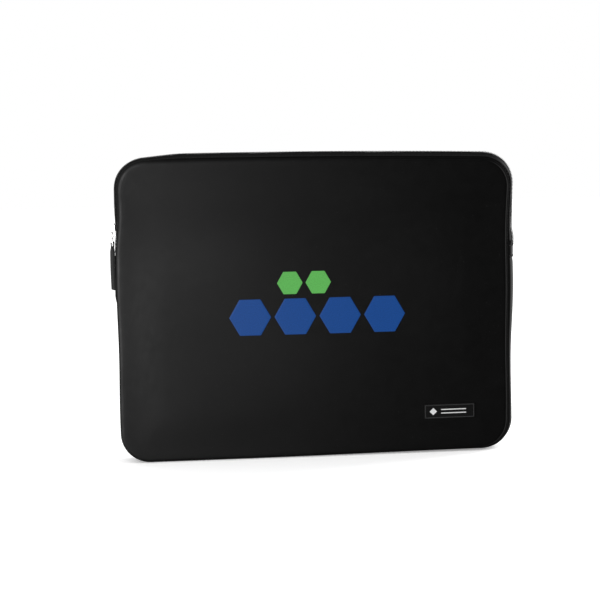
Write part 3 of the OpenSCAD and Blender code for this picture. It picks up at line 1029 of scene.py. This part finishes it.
def band(shape, x, z, width, thickness, edge):
    """A flat band along points in the plane of x and z. Its width runs from front to back."""
    points = np.stack([x, np.zeros(len(x)), z], axis=1)
    along = np.gradient(points, axis=0)
    along /= np.linalg.norm(along, axis=1, keepdims=True)
    section = rectangle(width, thickness, edge, steps=3)
    ring = section[None, :, :1] * FORWARDS + section[None, :, 1:] * np.cross(FORWARDS, along)[:, None]
    return shape.tube(points[:, None] + ring)


OUTER_PLATE = (-196.4, -195.5)  # clear of the tape and the coil on one side, and of the loop on the other
INNER_PLATE_T = 1.2
SLIDER_TAIL = 3.8
BRIDGE_SPAN, BRIDGE_UP, BRIDGE_W, BRIDGE_T = 4.4, 1.0, 3.0, 0.9
LOOP_TOP, LOOP_BOTTOM = 3.2, 6.2
LOOP_WIRE_R = 0.68


def slider():
    """The slider's two plates, the wedge between them and the bridge that holds the wire loop."""
    low, high = node_box("slider_body")
    plates = {"outer": OUTER_PLATE, "inner": (high[0] - INNER_PLATE_T, high[0])}
    pivot = np.array(joints["pull_loop_swing"]["pos_m"]) / MM
    z_low, z_high = low[2], high[2]
    z_mid = (z_low + z_high) / 2
    half_low, half_high = SLIDER_TAIL, (high[1] - low[1]) / 2
    outline = rounded_polygon([
        [-half_low, z_low], [half_low, z_low], [half_low + 0.3, z_mid - 1.5], [half_high, z_mid + 2],
        [half_high, z_high - 1], [half_high - 2.4, z_high], [2.4 - half_high, z_high],
        [-half_high, z_high - 1], [-half_high, z_mid + 2], [-half_low - 0.3, z_mid - 1.5]], 0.7, 3)
    body = Shape()
    for x_from, x_to in plates.values():
        side_slab(body, outline, x_from, x_to, 0.3)
    wedge = rounded_polygon([[-0.8, z_mid], [0, z_mid - 0.8], [0.8, z_mid], [0.8, z_high - 1.2],
                             [-0.8, z_high - 1.2]], 0.25, 2)
    side_slab(body, wedge, plates["outer"][1] - 0.2, plates["inner"][0] + 0.2, 0.05)
    foot, reach = plates["outer"][0] + 0.3, low[0] + 0.45
    turn = np.linspace(0, math.pi, 25)
    bridge_z = pivot[2] + BRIDGE_UP - BRIDGE_SPAN * np.cos(turn)
    bridge_x = foot + (reach - foot) * np.sin(turn) ** 0.55
    band(body, bridge_x, bridge_z, BRIDGE_W, BRIDGE_T, 0.25)
    make(body, "zip_slider", "slider_metal", ["slider_body"], body="slider", sharp=35)



def wire_loop():
    """A ring of wire with its narrow end in the slider's bridge and its wide end in the pull."""
    top = np.array(joints["pull_loop_swing"]["pos_m"]) / MM
    bar = np.array(joints["pull_tab_swing"]["pos_m"]) / MM
    corners = [[-LOOP_TOP, top[2]], [LOOP_TOP, top[2]], [LOOP_BOTTOM, bar[2]], [-LOOP_BOTTOM, bar[2]]]
    loop = refined(rounded_polygon(corners, 1.3, 5), 1.0)
    line = np.stack([np.full(len(loop), top[0]), loop[:, 0], loop[:, 1]], axis=1)
    ring = wire(Shape(), line, SIDEWAYS, LOOP_WIRE_R, sides=12, closed=True)
    make(ring, "wire_loop", "pull_wire", ["pull_loop"], body="pull_loop")


PLY_T = 1.0
PLY_APART = 0.56  # from the pull's middle to the middle of a ply
PULL_EYE = 1.4  # the same where the ribbon turns round the loop
PULL_NECK = 5  # and how far down it takes to close
PULL_TWIST = math.radians(18)
PULL_CURL = -0.35
STITCH_MARGIN, STITCH_PITCH = 1.2, 1.9


def pull_shape(points, bar, length):
    """Gives the hanging ribbon a slight twist and a lazy curve."""
    fall = np.clip((bar[2] - points[..., 2]) / length, 0, 1)
    turn = PULL_TWIST * ramp(fall, 0, 0.2)
    x, y = points[..., 0] - bar[0], points[..., 1]
    curl = PULL_CURL * np.sin(math.pi * fall)
    return np.stack([
        bar[0] + x * np.cos(turn) - y * np.sin(turn) + curl,
        x * np.sin(turn) + y * np.cos(turn),
        points[..., 2],
    ], axis=-1)


def pull():
    """A ribbon doubled round the loop's lower bar, with its ends sewn together."""
    bar = np.array(joints["pull_tab_swing"]["pos_m"]) / MM
    low, high = node_box("pull_tab")
    end_z, half_w = low[2] + 0.4, (high[1] - low[1]) / 2
    turn = np.linspace(0, math.pi, 13)[1:-1]
    down = np.linspace(0, 1, 24) * (bar[2] - end_z)
    ply_x = PULL_EYE + (PLY_APART - PULL_EYE) * ramp(down, 0, PULL_NECK)
    z = bar[2] - down
    first = np.stack([bar[0] - ply_x, z], axis=1)[::-1]
    over = np.stack([bar[0] - PULL_EYE * np.cos(turn), bar[2] + PULL_EYE * np.sin(turn)], axis=1)
    second = np.stack([bar[0] + ply_x, z], axis=1)
    line = np.concatenate([first, over, second])
    ribbon = band(Shape(), line[:, 0], line[:, 1], 2 * half_w - 0.1, PLY_T, 0.3)
    ribbon.points = [pull_shape(p, bar, bar[2] - end_z) for p in ribbon.points]
    piece = make(ribbon, "pull_ribbon", "pull_webbing", ["pull_tab"], body="pull_tab", sharp=50)

    thread = Shape()
    rows = [bar[2] - 5, end_z + 3.5]
    seam_y = half_w - STITCH_MARGIN
    runs = [([row, row], [-seam_y, seam_y]) for row in rows]
    runs += [(rows, [y, y]) for y in (-seam_y, seam_y)]
    for face in (-1, 1):
        for (z_from, z_to), (y_from, y_to) in runs:
            count = max(2, int(max(abs(z_to - z_from), abs(y_to - y_from)) / STITCH_PITCH))
            for k in range(count):
                share = (k + np.array([0.08, 0.25, 0.5, 0.75, 0.92])) / count
                lift = PLY_APART + PLY_T / 2 + np.array([-0.1, 0.04, 0.1, 0.04, -0.1])
                stitch = np.stack([
                    bar[0] + face * lift,
                    y_from + (y_to - y_from) * share,
                    z_from + (z_to - z_from) * share,
                ], axis=1)
                stitch = pull_shape(stitch, bar, bar[2] - end_z)
                wire(thread, stitch, SIDEWAYS, 0.15)
    make(thread, "pull_stitches", "stitch_thread", ["pull_tab_stitches"], body="pull_tab")


sewn_ends()
label()
hexagon_print("blue_print", "blue_ink", 4, "blue_hexagons")
hexagon_print("green_print", "green_ink", 2, "green_hexagons")
slider()
wire_loop()
pull()


# ---- Floor, light and camera, in metres ----
REFLECTED_STUDIO = 0.2  # how much of the white studio shows in a gloss
FLOOR_HALF = 4.0
FLOOR_GLOW = 0.3  # keeps the floor as white as the studio behind it


def stage():
    """A white studio and a white floor."""
    world = bpy.data.worlds.new("studio")
    world.use_nodes = True
    background = world.node_tree.nodes["Background"]
    background.inputs["Color"].default_value = (1, 1, 1, 1)
    rays = world.node_tree.nodes.new("ShaderNodeLightPath")
    dimmed = world.node_tree.nodes.new("ShaderNodeMapRange")
    dimmed.inputs["To Min"].default_value = 1.0
    dimmed.inputs["To Max"].default_value = REFLECTED_STUDIO
    world.node_tree.links.new(rays.outputs["Is Glossy Ray"], dimmed.inputs["Value"])
    world.node_tree.links.new(dimmed.outputs["Result"], background.inputs["Strength"])
    bpy.context.scene.world = world
    mesh = bpy.data.meshes.new("floor")
    mesh.from_pydata([(*corner, 0) for corner in (SQUARE * FLOOR_HALF).tolist()], [], [(0, 1, 2, 3)])
    floor = bpy.data.objects.new("floor", mesh)
    bpy.context.scene.collection.objects.link(floor)
    pale = bpy.data.materials.new("pale_floor")
    pale.use_nodes = True
    shader = pale.node_tree.nodes["Principled BSDF"]
    shader.inputs["Specular IOR Level"].default_value = 0
    shader.inputs["Base Color"].default_value = (1, 1, 1, 1)
    shader.inputs["Roughness"].default_value = 0.9
    shader.inputs["Emission Color"].default_value = (1, 1, 1, 1)
    shader.inputs["Emission Strength"].default_value = FLOOR_GLOW
    mesh.materials.append(pale)
    floor.visible_glossy = False


def area_light(name, place, target, size, power, spread=180, gloss_only=False):
    """A soft lamp that looks at a target. A gloss-only one shows only in reflections."""
    light = bpy.data.lights.new(name, "AREA")
    light.shape = "RECTANGLE"
    light.size, light.size_y = size
    light.energy = power
    light.spread = math.radians(spread)
    lamp = bpy.data.objects.new(name, light)
    lamp.location = place
    lamp.visible_camera = False
    lamp.visible_diffuse = not gloss_only
    lamp.rotation_euler = (Vector(target) - Vector(place)).to_track_quat("-Z", "Y").to_euler()
    bpy.context.scene.collection.objects.link(lamp)


CAMERA_DISTANCE = 1.70
CAMERA_AZIMUTH = math.radians(-6.0)
CAMERA_ELEVATION = math.radians(7.0)
CAMERA_ROLL = math.radians(-0.9)
LENS, SENSOR = 102.8, 36  # millimetres
LENS_SHIFT = (-0.026, 0.0114)
TARGET = Vector((0, 0, 0.148))


def camera():
    """The camera at the photograph's angle."""
    lens = bpy.data.cameras.new("camera")
    lens.lens = LENS
    lens.sensor_width = SENSOR
    lens.shift_x, lens.shift_y = LENS_SHIFT
    lens.clip_start = 0.05
    eye = bpy.data.objects.new("camera", lens)
    back = Vector((
        math.sin(CAMERA_AZIMUTH) * math.cos(CAMERA_ELEVATION),
        -math.cos(CAMERA_AZIMUTH) * math.cos(CAMERA_ELEVATION),
        math.sin(CAMERA_ELEVATION),
    ))
    eye.location = TARGET + CAMERA_DISTANCE * back
    look = (-back).to_track_quat("-Z", "Y").to_matrix().to_4x4()
    eye.rotation_euler = (look @ Matrix.Rotation(CAMERA_ROLL, 4, "Z")).to_euler()
    bpy.context.scene.collection.objects.link(eye)
    bpy.context.scene.camera = eye


stage()
camera()
area_light("key", place=(-1.0, -1.2, 1.0), target=(0, 0, 0.15), size=(1.0, 1.0), power=3)
area_light("haze", place=(-0.6, -0.55, 0.14), target=(-0.17, 0, 0.13), size=(0.3, 0.5), power=13, spread=60,
           gloss_only=True)
area_light("edge", place=(1.0, 0.35, 0.4), target=(0.2, 0, 0.15), size=(0.3, 0.8), power=9)
bpy.context.scene.view_settings.view_transform = "Standard"
